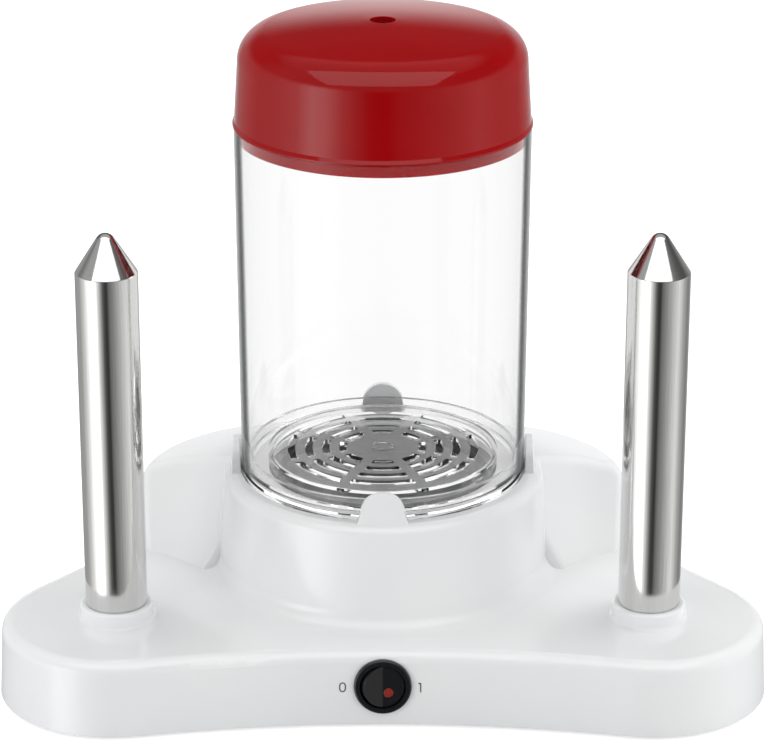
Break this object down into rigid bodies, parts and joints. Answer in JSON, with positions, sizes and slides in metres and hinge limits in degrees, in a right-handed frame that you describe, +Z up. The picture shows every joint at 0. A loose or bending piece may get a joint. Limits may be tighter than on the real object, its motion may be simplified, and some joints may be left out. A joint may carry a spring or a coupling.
{
  "type": "hot dog maker",
  "caption": "White electric hot dog steamer with a clear jar over a water dish, a deep red domed lid, two heated steel spikes for buns and a round rocker switch.",
  "frame": {"origin": "on the surface the feet stand on, below the middle of the whole part; the jar's axis is 16.0 mm behind it", "axes": "+Z up along the jar's axis, -Y towards the front with the switch, +X to the right as seen from the front"},
  "size_m": [0.3124, 0.1761, 0.2665],
  "materials": {
    "white_plastic": "gloss",
    "grey_plastic": "fine grain",
    "screw_steel": "zinc plated",
    "foot_rubber": "matt",
    "coated_dish": "dark non-stick coating",
    "silicone": "matt",
    "zinc_plate": "zinc plated steel",
    "element_steel": "dull, heat tinted",
    "ceramic_body": "matt",
    "fuse_case": "plain",
    "spike_steel": "satin",
    "socket_resin": "heat-proof moulding",
    "switch_black": "satin gloss",
    "red_lens": "clear red, unlit",
    "terminal_brass": "tin plated",
    "inlet_black": "satin",
    "block_resin": "satin",
    "clear_plastic": "clear",
    "red_plastic": "gloss, deep red"
  },
  "bodies": {
    "base": {"base_housing": "white_plastic", "base_cover": "grey_plastic", "cover_screws": "screw_steel", "rubber_feet": "foot_rubber", "steam_dish": "coated_dish", "dish_gasket": "silicone", "dish_clamp": "zinc_plate", "clamp_screws": "screw_steel", "dish_element": "element_steel", "thermostat": "ceramic_body", "thermostat_strap": "zinc_plate", "strap_screws": "screw_steel", "thermal_fuse": "fuse_case", "spike_left": "spike_steel", "spike_right": "spike_steel", "spike_socket_left": "socket_resin", "spike_socket_right": "socket_resin", "socket_screws": "screw_steel", "spike_heater_left": "element_steel", "spike_heater_right": "element_steel", "spike_spacer_left": "zinc_plate", "spike_spacer_right": "zinc_plate", "switch_body": "switch_black", "switch_terminals": "terminal_brass", "cord_inlet": "inlet_black", "cord_inlet_nut": "inlet_black", "terminal_block": "block_resin", "block_screws": "screw_steel"},
    "tray": {"steam_tray": "clear_plastic"},
    "jar": {"jar": "clear_plastic"},
    "lid": {"lid": "red_plastic"},
    "rocker": {"switch_rocker": "switch_black", "switch_lens": "red_lens"}
  },
  "joints": [
    {"name": "jar_lift", "type": "slide", "parent": "base", "child": "jar", "axis": [0, 0, 1], "range_m": [0, 0.1]},
    {"name": "lid_lift", "type": "slide", "parent": "jar", "child": "lid", "axis": [0, 0, 1], "range_m": [0, 0.06]},
    {"name": "tray_lift", "type": "slide", "parent": "base", "child": "tray", "axis": [0, 0, 1], "range_m": [0, 0.06]},
    {"name": "rocker_tilt", "type": "hinge", "parent": "base", "child": "rocker", "pos_m": [0, -0.07391, 0.01784], "axis": [0, -0.0523, -0.9986], "range_deg": [0, 20]}
  ]
}
